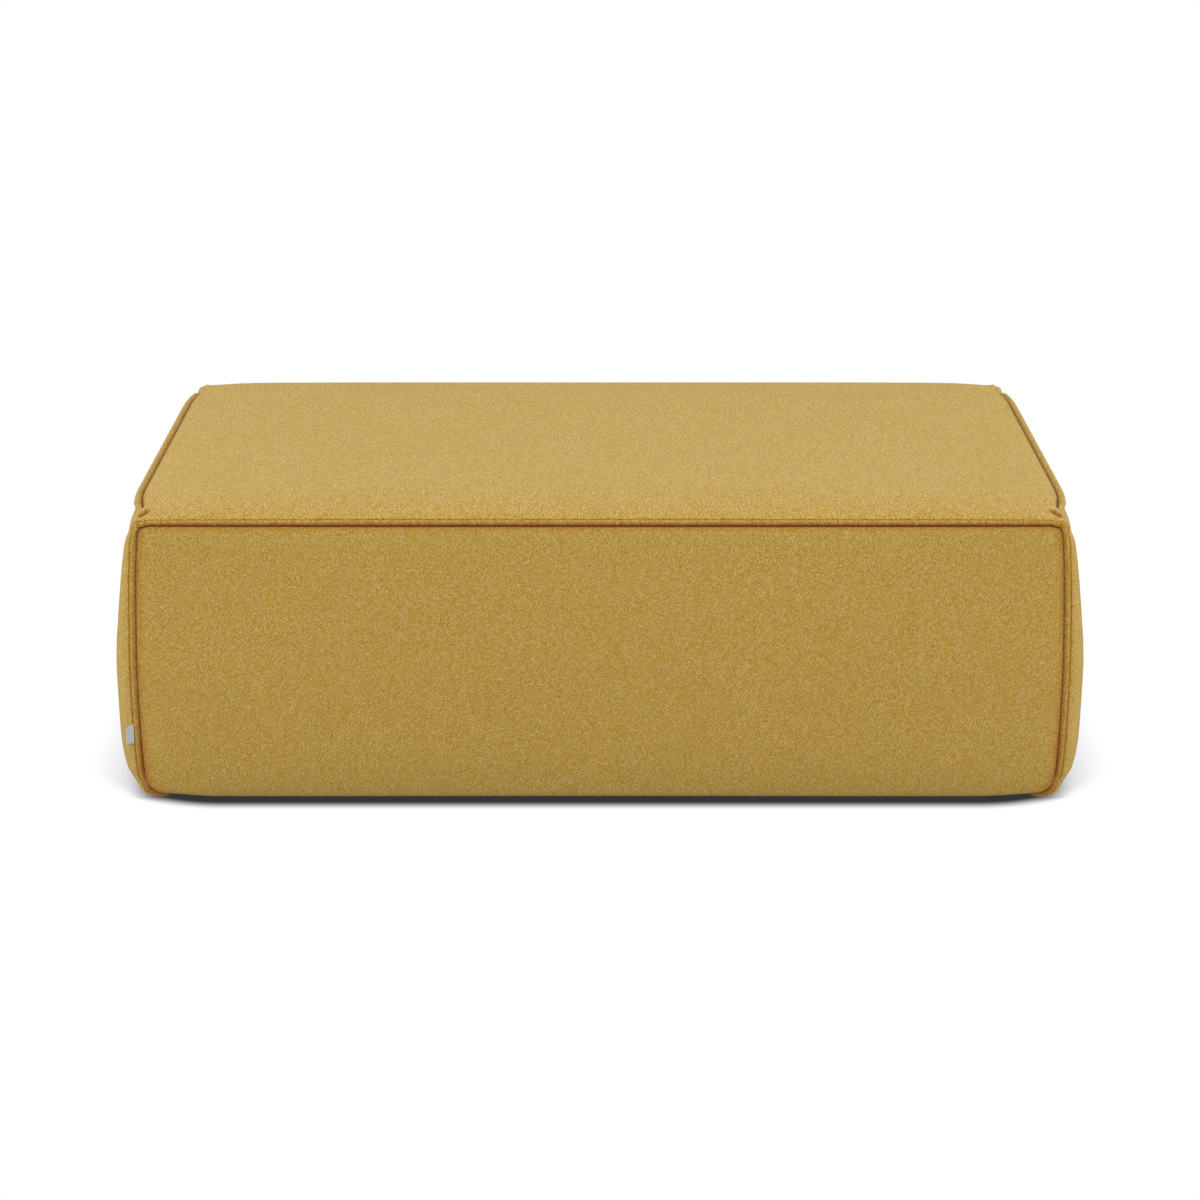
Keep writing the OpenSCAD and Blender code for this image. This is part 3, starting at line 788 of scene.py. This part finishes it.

# %% [markdown]
# ## Seams, bands and stitch lines
#
# The seams are lapped: one panel's edge is folded under, laid on its neighbour and topstitched
# eight millimetres in, so a low band runs beside the seam. The ends lap over the top and the
# long walls, and the top laps over the long walls. At each top corner the band of the end
# stops in a round tongue whose seam curls inwards, and the spare cloth behind the corner is
# folded into a short slanting tuck. Cloth deep in a seam is seen darker and redder, since light
# reaches it from cloth to cloth, so each point keeps a painted shade for the finish: darkest in
# the seams, the tucks' creases and the stitch lines.

# %% Heights of the sewing
GROOVE, END_GROOVE = 5.8 * MM, 3.4 * MM  # the upper seams of the ends are shallower
GROOVE_RUN = 4.6 * MM
# SHADE_RUN is how far the painted shade of a seam reaches, and END_DARK keeps the painted shade of
# the shallow seams as dark
SHADE_RUN = 5.8 * MM
END_DARK = GROOVE / END_GROOVE  # keeps the shallow seams as dark
BAND_TOP, BAND_SIDE = 1.0 * MM, 5.0 * MM
BAND_EDGE = (BAND_W - 0.6 * MM, BAND_W + 1.6 * MM)
STITCH_DEPTH, STITCH_W = 2.0 * MM, 1.1 * MM
TONGUE_START, TONGUE_END = 68 * MM, 84 * MM
FOLDS = (  # from where to where, each from the end and from the front, and how deep
    ((12 * MM, 31 * MM), (1.0 * MM, 15 * MM), 7.0 * MM),
    ((-6 * MM, 92 * MM), (0.5 * MM, 52 * MM), 4.0 * MM),
)
FOLD_W, FOLD_BEGINS, FOLD_ENDS = 2.5 * MM, (-0.2, 0.15), (0.7, 1.15)
RIDGE_PLACE, RIDGE_W, RIDGE_SHARE = 4.5 * MM, 3 * MM, 0.45
CORNER_R, CORNER_IN = 14 * MM, 3 * MM
EAR_OUT, EAR_R, EAR_PAST, EAR_IN, EAR_LIFT = 5.0 * MM, 14 * MM, 3 * MM, 13 * MM, 0.3
# Painted shade of the seams: a corner seam is painted darker near the foot and wider just over it,
# and the end and corner seams get their own width and darkness of painted shade
LOW_FROM, LOW_TO, LOW_DARK = 0.20, 0.36, 1.1  # a corner seam is darker near the foot
OPEN_FROM, OPEN_TO, OPEN_MORE = 0.33, 0.385, 0.4  # and wider just over it
TOP_END_WIDE, END_WIDE = 0.75, 0.7  # how wide the shade of the end seams is on either side
END_SIDE, LONG_SIDE_SEAM = (0.42, 1.0), (0.85, 1.3)  # how dark and wide at a corner seam
LEAN_RUN = 6 * MM
SIDE_LESS, SIDE_LESS_RUN = 0.25, (10 * MM, 40 * MM)  # it is shallower away from the top
END_GROOVE_RUN, END_STITCHED = 2.2 * MM, 0.3
# STITCH_SHADE is the painted shade along a stitch line
STITCH_SHADE = 0.70


def groove(distance, run=GROOVE_RUN):
    """One in the seam, nothing outside its fold."""
    return 1 - rise(distance / run, 1.6)


def band(distance, run=GROOVE_RUN):
    """One on the raised band between the fold and the stitch line."""
    return rise(distance / run) * (1 - ease(distance, *BAND_EDGE))


def stitch_line(distance):
    return hump(distance, BAND_W, STITCH_W)


seam_shade = {}


def sew_in(name):
    """Moves a panel's points for its seams and gives the sewn points. A painted shade is kept for
    each point, darkest deep in a seam and along the stitch line."""
    points, facing, rows = place[name], faces[name], all_rows[name]
    height, sunk, held, shade = np.zeros((4, *points.shape[:2]))
    pull = np.zeros(points.shape)

    def add_seam(distance, way, depth, raised, stitched, dark=1.0, wide=1.0, run=GROOVE_RUN):
        nonlocal height, sunk, pull, held, shade
        climb = raised * band(distance, run) + depth * (1 - groove(distance, run))
        # fold and thread are painted shade: deep in the groove, and along the stitch line
        fold = dark * depth / GROOVE * hump(np.hypot(distance, climb), 0, wide * SHADE_RUN)
        thread = STITCH_SHADE * stitched * stitch_line(distance)
        shade = np.maximum(shade, np.maximum(fold, thread))
        height = height + raised * band(distance, run)
        height = height - stitched * STITCH_DEPTH * stitch_line(distance)
        sunk = np.maximum(sunk, depth * groove(distance, run))
        share = (1 - ease(distance, 0, LEAN_RUN)) * (depth / GROOVE + 0.001)
        pull = pull + share[..., None] * way
        held = held + share

    full = GROOVE + 0 * rows["start"]
    if name == "top":
        tongue = ease(np.minimum(rows["start"], rows["end"]), TONGUE_START, TONGUE_END)
        for edge, way in (("start", head_way["front"]), ("end", head_way["back"][::-1])):
            add_seam(rows[edge], way[:, None], full, BAND_TOP, 1)
        for edge, way in (("right", head_way["right"]), ("left", head_way["left"][::-1])):
            add_seam(rows[edge], way[None], END_GROOVE * tongue, 0, 0, END_DARK, TOP_END_WIDE)
    else:
        head = head_way[name][:, None]
        low = ease(rows["start"], LOW_FROM, LOW_TO)
        more = OPEN_MORE * ease(rows["start"], OPEN_FROM, OPEN_TO)
        if name in ("left", "right"):
            tongue = ease(np.minimum(rows["left"], rows["right"]), TONGUE_START, TONGUE_END)
            depth, raised, lap = END_GROOVE * tongue, BAND_SIDE * tongue, END_STITCHED * tongue
            end_seam = END_DARK, END_WIDE, END_GROOVE_RUN
            add_seam(rows["start"], head, depth, raised, lap, *end_seam)
            raised, lap, dark, wide = BAND_TOP, 1, *END_SIDE
        else:
            add_seam(rows["start"], head, full, 0, 0)
            raised, lap, dark, wide = 0, 0, *LONG_SIDE_SEAM
        dark = dark * (1 - low) + LOW_DARK * low
        full = full * (1 - SIDE_LESS * ease(rows["start"], *SIDE_LESS_RUN))
        for edge, corner in (("left", WALL_BEFORE[name]), ("right", name)):
            add_seam(rows[edge], side_way[corner][None], full, raised, lap, dark, wide + more)
    rest = np.maximum(0, 1 - held)[..., None]
    way = unit(pull + rest * facing)
    # the painted shade goes to the finish
    seam_shade[name] = np.minimum(shade, 1)
    return points + facing * height[..., None] - way * sunk[..., None]


def round_corners(points):
    """Rounds the four top corners of the long walls to an arc of radius CORNER_R, and lets the
    spare cloth stand out as a small ear at the two behind."""
    for side in (-1, 1):
        for end in (-1, 1):
            seam = np.array([side * (HALF_W - CORNER_IN), end * HALF_D, SEAM_Z])
            off = np.minimum(np.linalg.norm(points - seam, axis=-1), CORNER_R)
            pull = CORNER_R - (off + np.sqrt(2 * CORNER_R**2 - off**2)) / 2
            points = points + pull[..., None] * np.array([-side, 0, -1])
        ear = np.array([side * (HALF_W + EAR_PAST), HALF_D - EAR_IN, SEAM_Z])
        near = hump(np.linalg.norm(points - ear, axis=-1), 0, EAR_R)
        points = points + EAR_OUT * near[..., None] * np.array([side, 0, EAR_LIFT])
    return points


def fold_in(points):
    """Folds the short slanting tucks into the top at each corner."""
    for side, end in ((-1, -1), (-1, 1), (1, -1), (1, 1)):
        for start, stop, depth in FOLDS:
            start = np.array([side * (HALF_W - start[0]), end * (HALF_D - start[1])])
            stop = np.array([side * (HALF_W - stop[0]), end * (HALF_D - stop[1])])
            length = np.linalg.norm(stop - start)
            way = (stop - start) / length
            along = (points[..., :2] - start) @ way / length
            across = (points[..., :2] - start) @ np.array([way[1], -way[0]]) * side * end
            fade = ease(along, *FOLD_BEGINS) * (1 - ease(along, *FOLD_ENDS))
            crease = fade * hump(across, 0, FOLD_W)
            ridge = fade * hump(across, RIDGE_PLACE, RIDGE_W)
            points[..., 2] += depth * (RIDGE_SHARE * ridge - crease)
            # the crease is also painted darker: painted shade in the top's seam shade
            seam_shade["top"] = np.maximum(seam_shade["top"], crease)
    return points


sewn = {name: round_corners(sew_in(name)) for name in PANELS}
sewn["top"] = fold_in(sewn["top"])
print("sewn panels:", {name: points.shape[:2] for name, points in sewn.items()})

# %% [markdown]
# ## The cloth's finish
#
# The cloth is a soft melange: short nubs of gold, straw and brown yarn, about a millimetre
# across, with fine fibres over them. The pattern lies on the taped coordinates of each panel,
# so it follows the cloth round its curves. Wool shows a pale bloom where it is seen at a flat
# angle, which is what sheen is for.


# %% Cover cloth
STRAY = (0.0014,) * 3  # how far the nubs are pushed out of line
YARN = [  # brown, gold, straw and pale fibre
    (0.0, (0.300, 0.170, 0.003)),
    (0.35, (0.420, 0.260, 0.019)),
    (0.65, (0.460, 0.300, 0.071)),
    (1.0, (0.540, 0.404, 0.220)),
]
YARN_MEAN = (0.40, 0.25, 0.04, 1)
# Painted light at the seams: the colour that paints shade deep in a seam, and the warmer painted
# bounce light beside it
PAINTED_SEAM_SHADE = (0.49, 0.080, 0.0, 1)
PAINTED_FLANK_LIGHT = (1.04, 0.94, 0.50, 1)  # the light beside a seam is already warmer


def wool_cloth(name, coordinates, shade=1.0):
    finish = new_finish(name)
    flat = "2D" if coordinates == "UV" else "3D"
    here = finish.at(coordinates)
    strayed = {
        "Vector": finish.noise(here, 460.0, 1.0, 0.5, flat, "Color"),
        "Vector_001": STRAY,
        "Vector_002": here,
    }
    bent = finish.node("VectorMath", strayed, operation="MULTIPLY_ADD")["Vector"]
    nub = finish.cells(bent, 1000.0, flat)
    tones = finish.node("SeparateColor", {"Color": nub["Color"]})
    weave = finish.noise(here, 560.0, 1.0, 0.6, flat)
    fibre = finish.noise(here, 1600.0, 2.0, 0.6, flat)
    drift = finish.noise(here, 9.0, 2.0, 0.5, flat)
    yarn = finish.ramp((weave - 0.5) * 1.1 + tones["Red"] * 0.9 + fibre * 0.4 - 0.16, YARN)
    even = finish.blend((drift - 0.5) * 0.3 + 0.05, yarn, YARN_MEAN)
    tinted = finish.tint(even, (tones["Green"] - 0.5) * 0.30 + shade)
    # painted shade and light: the seam_shade attribute warms the cloth beside a seam, and darkens
    # and reddens it deep in seams, creases and stitch lines
    sunk = finish.node("Attribute", attribute_name="seam_shade")["Fac"]
    tinted = finish.blend(sunk**0.5, tinted, finish.tint(tinted, PAINTED_FLANK_LIGHT))
    tinted = finish.blend(sunk, tinted, finish.tint(tinted, PAINTED_SEAM_SHADE))
    height = (1 - nub["Distance"] * 1.6) * 0.7 + fibre * 0.45
    return finish.surface(
        Base_Color=tinted,
        Roughness=0.92,
        Normal=finish.relief(height, 0.0007, 0.8),
        Specular_IOR_Level=0.15,
        Sheen_Weight=0.22,
        Sheen_Roughness=0.45,
        Sheen_Tint=(1.0, 0.88, 0.52, 1),
    )


cover_cloth = wool_cloth("cover_cloth", "UV")
cover_thread = wool_cloth("cover_thread", "Object", 0.80)
print("finishes:", cover_cloth.name, cover_thread.name)

# %% [markdown]
# ## Showing the panels
#
# Each panel is a sheet with the thickness of cloth, which Solidify adds on its inner side. It
# stands for its solid in the frame.

# %% Panels
CLOTH_T = 1.4 * MM
CUT_ALLOWANCE = 0.024  # 12 mm at each edge


def show(piece, finish, node=None):
    """Gives a made piece its finish and its place in the frame."""
    piece.data.materials.clear()
    piece.data.materials.append(finish)
    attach(piece, "root")
    if node:
        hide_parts(node)


def thicken(piece, thickness, offset=-1):
    wall = piece.modifiers.new("thickness", "SOLIDIFY")
    wall.thickness, wall.offset = thickness, offset


def show_panel(name):
    points, rows, shade = sewn[name], all_rows[name], seam_shade[name]
    metres = np.stack([rows["left"], -rows["start"]], -1)
    if name == "top":
        metres = np.stack([rows["left"], 0.5 * rows["start"]], -1)
    else:
        points, metres, shade = points[:, ::-1], metres[:, ::-1], shade[:, ::-1]
    panel = grid_piece(name + "_panel_cloth", points, metres, shade)
    thicken(panel, CLOTH_T)
    show(panel, cover_cloth, name + "_panel")
    size = rows["left"][-1].mean(), rows["start"][:, -1].mean()
    cut = tuple(round(x + CUT_ALLOWANCE, 3) for x in size)
    name + "_pad"
    print(panel.name, len(panel.data.vertices), "points, cut", cut)


for name in PANELS:
    show_panel(name)

# %% [markdown]
# ## Topstitching
#
# Real thread dips into the cloth between stitches, so each stitch is a short capsule half
# sunk in its line. One capsule has only a few dozen faces, because there are over a thousand.

# %% Stitches
STITCH_PITCH, STITCH_L, STITCH_R, STITCH_LIFT = 4.6 * MM, 3.5 * MM, 0.42 * MM, 0.15 * MM
STITCH_FREE, CORNER_FREE = 5 * MM, 6 * MM  # no stitch this near the end of a seam

one_stitch = bpy.data.meshes.new("one_stitch")
with editing(one_stitch) as round_stitch:
    bmesh.ops.create_uvsphere(round_stitch, u_segments=6, v_segments=4, radius=STITCH_R)


def stitch_run(shape, line, facing):
    """Lays capsules along a line of points."""
    walked = tape(line[None])[0]
    count = int(walked[-1] / STITCH_PITCH)

    def read(values, stop):
        return Vector([np.interp(stop, walked, values[:, k]) for k in range(3)])

    for stop in (np.arange(count) + 0.5) * walked[-1] / count:
        here, up = read(line, stop), read(facing, stop).normalized()
        way = (read(line, stop + 1 * MM) - read(line, stop - 1 * MM)).normalized()
        side = up.cross(way).normalized()
        up = way.cross(side)
        turned = Matrix((way, side, up)).transposed().to_4x4()
        sized = Matrix.Diagonal((STITCH_L / 2 / STITCH_R, 1, 0.8, 1))
        placed = Matrix.Translation(here + up * STITCH_LIFT) @ turned @ sized
        stitch = one_stitch.copy()
        stitch.transform(placed)
        shape.from_mesh(stitch)
        bpy.data.meshes.remove(stitch)
    return count


def stitching(name, runs):
    mesh = bpy.data.meshes.new(name)
    with editing(mesh) as shape:
        count = sum(stitch_run(shape, line, facing) for line, facing in runs)
    mesh.shade_smooth()
    show(add_object(name, mesh), cover_thread)
    print(name, count, "stitches")


k = STITCH_ROW
for name, row in (("front", k), ("back", -1 - k)):
    rows = all_rows["top"]
    keep = np.minimum(rows["left"], rows["right"])[:, row] > STITCH_FREE
    stitching(f"top_{name}_stitches", [(sewn["top"][keep, row], faces["top"][keep, row])])
for name in ("left", "right"):
    rows = all_rows[name]
    keep = np.minimum(rows["left"], rows["right"])[:, k] > TONGUE_END - 3 * MM
    runs = [(sewn[name][keep, k], faces[name][keep, k])]
    for column in (k, -1 - k):
        keep = rows["start"][column] > CORNER_FREE
        runs.append((sewn[name][column, keep], faces[name][column, keep]))
    stitching(f"{name}_stitches", runs)

# %% [markdown]
# ## The tag
#
# A short grey tape is folded in half and caught under the corner band of the left end. It is
# bare. The solid in the frame gives its height and width. The tape itself is a narrow grid,
# bent round at its free end, that leans off the cloth and droops a little.

# %% Tag
TAPE_T, TAPE_REACH, TAPE_HELD = 0.45 * MM, 9.5 * MM, 0.8 * MM
TAPE_FOLD, TAPE_APART, TAPE_TAPER = 0.5 * MM, 0.34 * MM, 0.1
TAPE_DROOP, TAPE_CURL, TAPE_WAY = 0.42, 1.2 * MM, (-1, 0.12)
TAPE_ROOT = np.array([-1.3, -0.9]) * MM  # from the stitch line
TAPE_GREYS = [(0.1, (0.285, 0.305, 0.318)), (0.9, (0.465, 0.485, 0.498))]


def folded_tape(middle, half):
    """Points of the folded tape, and its metres along and across."""
    line = sewn["left"][-1 - STITCH_ROW, : len(SEAM_ROWS) + 40]  # well above the foot
    along = unit(np.array(TAPE_WAY))
    root = line[np.argmin(abs(line[:, 2] - middle)), :2] + TAPE_ROOT
    side = np.array([-along[1], along[0]])
    metre = np.linspace(-TAPE_REACH - TAPE_HELD, TAPE_REACH + TAPE_HELD, 49)
    out = TAPE_REACH - np.abs(metre)
    bend = np.tanh(metre / TAPE_FOLD) * TAPE_APART + TAPE_CURL * (out / TAPE_REACH) ** 2
    s, v = np.meshgrid(np.arange(len(metre)), np.linspace(-half, half, 15), indexing="ij")
    plan = root + out[s][..., None] * along + bend[s][..., None] * side
    z = middle + v * (1 - TAPE_TAPER * out[s] / TAPE_REACH)
    z = z - TAPE_DROOP * (out[s] - TAPE_REACH / 2)
    return np.concatenate([plan, z[..., None]], -1), np.stack([metre[s], v], -1)


def tape_finish():
    finish = new_finish("tag_tape")
    here = finish.at("UV")
    sockets = {"Vector": here, "Scale": 900.0}
    ribs = finish.node("TexWave", sockets, bands_direction="DIAGONAL")["Fac"]
    weft = finish.noise(here, 2600.0, 1.0, 0.5, "2D")
    tone = finish.ramp(ribs * 0.6 + weft * 0.5, TAPE_GREYS)
    weave = finish.relief(ribs + weft, 0.00012, 0.6)
    return finish.surface(Base_Color=tone, Roughness=0.62, Normal=weave)


tape_low, tape_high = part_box("tag")
tape_half = (tape_high[2] - tape_low[2]) / 2 + 1 * MM
tape_points, tape_metres = folded_tape(tape_low[2] + tape_half + 2 * MM, tape_half)
tag_piece = grid_piece("side_tag", tape_points, tape_metres)
thicken(tag_piece, TAPE_T, 0)
show(tag_piece, tape_finish(), "tag")
print("tag at", np.round(tape_points.mean((0, 1)), 3), "and", round(2 * tape_half / MM), "mm wide")

# %% [markdown]
# ## Foam and felt inside
#
# The pads can't be seen while the cover is on, but they are part of the object. Cut foam has
# soft corners, so each pad is a copy of its solid that is remeshed evenly and smoothed, and
# then drawn in a little so that the sewn cover has room for its seams.

# %% Foam pieces
FOAM_VOXEL, FOAM_SHY = 8 * MM, 2.2 * MM
FOAM_SMOOTH, FOAM_TURNS = 0.5, 6


def joined_copy(node, drop=None):
    """A copy of a node's mesh with its loose triangles joined, without the faces to drop."""
    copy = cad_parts[node].data.copy()
    with editing(copy) as shape:
        bmesh.ops.remove_doubles(shape, verts=shape.verts, dist=0.01 * MM)
        if drop:
            shape.normal_update()
            bmesh.ops.delete(shape, geom=[f for f in shape.faces if drop(f)], context="FACES")
    return copy


def soft_block(node, finish):
    """A rounded foam piece made from a copy of its solid."""
    piece = add_object(node + "_cut_foam", joined_copy(node))
    even = piece.modifiers.new("even", "REMESH")
    even.mode, even.voxel_size = "VOXEL", FOAM_VOXEL
    soft = piece.modifiers.new("soft", "SMOOTH")
    soft.factor, soft.iterations = FOAM_SMOOTH, FOAM_TURNS
    graph = bpy.context.evaluated_depsgraph_get()
    piece.data = bpy.data.meshes.new_from_object(piece.evaluated_get(graph))
    piece.modifiers.clear()
    with editing(piece.data) as shape:
        shape.normal_update()
        for vertex in shape.verts:
            vertex.co -= vertex.normal * FOAM_SHY
    piece.data.shade_smooth()
    show(piece, finish, node)
    print(piece.name, len(piece.data.polygons), "faces")


pad_foam = plain_finish(
    "pad_foam",
    patterns=[(900.0,), (7.0, 3.0)],  # pores, age
    tone=(0.3, 0.8),
    stops=[(0.2, (0.70, 0.62, 0.42)), (0.8, (0.80, 0.75, 0.60))],
    rough=(0.95,),
    relief=(1,),
    bump=(0.0006, 0.7),
)
for node in ("top_pad", "front_pad", "back_pad", "left_pad", "right_pad"):
    soft_block(node, pad_foam)
soft_block("seat_foam", pad_foam)

# %% [markdown]
# ## Felt and dust cover
#
# Felt lies between the springs and the foam, and dips a little where it isn't held up. Thin
# black spunbond closes the underside. Both are sheets: a grid, or the lower side of the
# solid with its glide holes, with a thickness from Solidify.


# %% Felt
FELT_T, FELT_DIP, SPRING_BAY = 5 * MM, 0.4 * MM, 0.1373


def felt_finish():
    finish = new_finish("felt")
    here = finish.at()
    wisp = finish.noise(here, 160.0, 5.0, 0.7)
    speck = finish.cells(here, 260.0)["Color"]
    fleck = finish.node("SeparateColor", {"Color": speck})["Red"]
    tone = finish.ramp(
        wisp * 0.7 + fleck**4.0 * 0.4,
        [(0.2, (0.10, 0.10, 0.11)), (0.6, (0.20, 0.20, 0.21)), (0.9, (0.42, 0.38, 0.36))],
    )
    return finish.surface(Base_Color=tone, Roughness=1.0, Normal=finish.relief(wisp, 0.0012, 0.8))


def flat_size(low, high):
    return tuple(np.round((high - low)[:2], 3).tolist())


low, high = (np.array(c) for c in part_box("felt"))
felt_x = np.linspace(low[0], high[0], 91)
felt_y = np.linspace(low[1], high[1], 61)
lie_x, lie_y = np.meshgrid(felt_x, felt_y, indexing="ij")
lie_z = high[2] - FELT_DIP * (1 + np.cos(lie_x * 2 * np.pi / SPRING_BAY))
felt_sheet = grid_piece("felt_sheet", np.stack([lie_x, lie_y, lie_z], -1))
thicken(felt_sheet, FELT_T)
show(felt_sheet, felt_finish(), "felt")
print("felt", flat_size(low, high))

# %% Dust cover
DUST_T = 0.6 * MM
dust_cloth = plain_finish(
    "dust_cloth",
    patterns=[(620.0,), (14.0, 4.0, 0.6), (300.0, 3.0, 0.7)],  # dimples, haze, wisps
    tone=(0.3, 0.2, 0.6),
    stops=[(0.2, (0.012, 0.012, 0.013)), (0.8, (0.045, 0.045, 0.048))],
    rough=(0.75,),
    relief=(0.6, 2.5),
    bump=(0.0009, 0.8),
)
low, high = (np.array(c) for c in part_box("dust_cover"))
lower_side = joined_copy("dust_cover", drop=lambda face: face.normal.z > -0.9)
dust_sheet = add_object("dust_cover_sheet", lower_side)
thicken(dust_sheet, DUST_T)
show(dust_sheet, dust_cloth, "dust_cover")
print("dust cover", flat_size(low, high))

# %% [markdown]
# ## Timber, board, steel and glides
#
# The hard pieces keep their solids. Softwood has pale and darker bands along each rail, so
# there is one finish for each direction of the grain. Hardboard is brown and even, with short
# fibres. The springs are of dark drawn wire, and the glides of black moulded nylon.


# %% Hard finishes
def softwood(name, squeeze):
    return plain_finish(
        name,
        patterns=[(60.0, 3.0, 0.5), (520.0, 2.0, 0.65), (5.0, 2.0)],  # bands, fibre, sway
        tone=(0.55, 0.3, 0.2),
        stops=[
            (0.25, (0.42, 0.255, 0.120)),
            (0.5, (0.58, 0.400, 0.215)),
            (0.75, (0.66, 0.490, 0.290)),
        ],
        rough=(0.55, 0, 0.2),
        relief=(0.4, 0.6),
        bump=(0.0005, 0.5),
        squeeze=squeeze,
    )


GRAIN = (  # along each axis
    softwood("wood_along_x", (0.05, 1, 1)),
    softwood("wood_along_y", (1, 0.05, 1)),
    softwood("wood_upright", (1, 1, 0.05)),
)
board = plain_finish(
    "lining_board",
    patterns=[(240.0, 4.0, 0.7), (10.0, 2.0)],  # chips, clouds
    tone=(0.7, 0.3),
    stops=[(0.3, (0.19, 0.105, 0.050)), (0.75, (0.36, 0.225, 0.120))],
    rough=(0.7,),
    relief=(1,),
    bump=(0.0003, 0.6),
)
steel = plain_finish(
    "spring_steel",
    patterns=[(90.0, 4.0, 0.65), (700.0, 2.0)],  # scale, streaks
    tone=(0.8, 0.2),
    stops=[(0.3, (0.14, 0.14, 0.15)), (0.7, (0.34, 0.34, 0.36))],
    rough=(0.2, 0.3),
    relief=(0, 1),
    bump=(0.0001, 0.4),
    Metallic=0.95,
)
nylon = plain_finish(
    "glide_plastic",
    patterns=[(60.0, 5.0, 0.7), (900.0, 2.0, 0.6)],  # scuffs, grain
    tone=(0.8, 0.2),
    stops=[(0.45, (0.012, 0.012, 0.013)), (0.85, (0.060, 0.060, 0.062))],
    rough=(0.25, 0.35),
    relief=(0, 1),
    bump=(0.0002, 0.5),
)


def hard_finish(node):
    """Picks a hard node's finish from what the piece is and how it lies."""
    if "board" in node:
        return board
    if node.endswith("_glide"):
        return nylon
    if node.endswith(("rail", "post", "stile", "stretcher")):
        low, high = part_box(node)
        return GRAIN[int(np.argmax(np.array(high) - np.array(low)))]
    return steel


soft_nodes = {name + "_panel" for name in PANELS} | {name + "_pad" for name in PANELS}
soft_nodes |= {"seat_foam", "felt", "dust_cover", "tag"}
hard_nodes = [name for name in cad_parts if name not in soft_nodes]
for name in hard_nodes:
    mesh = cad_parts[name].data
    mesh.materials.clear()
    mesh.materials.append(hard_finish(name))
print(len(hard_nodes), "hard nodes have a finish")

low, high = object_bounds()
print("visual box", [round(x, 4) for x in (*low, *high)])
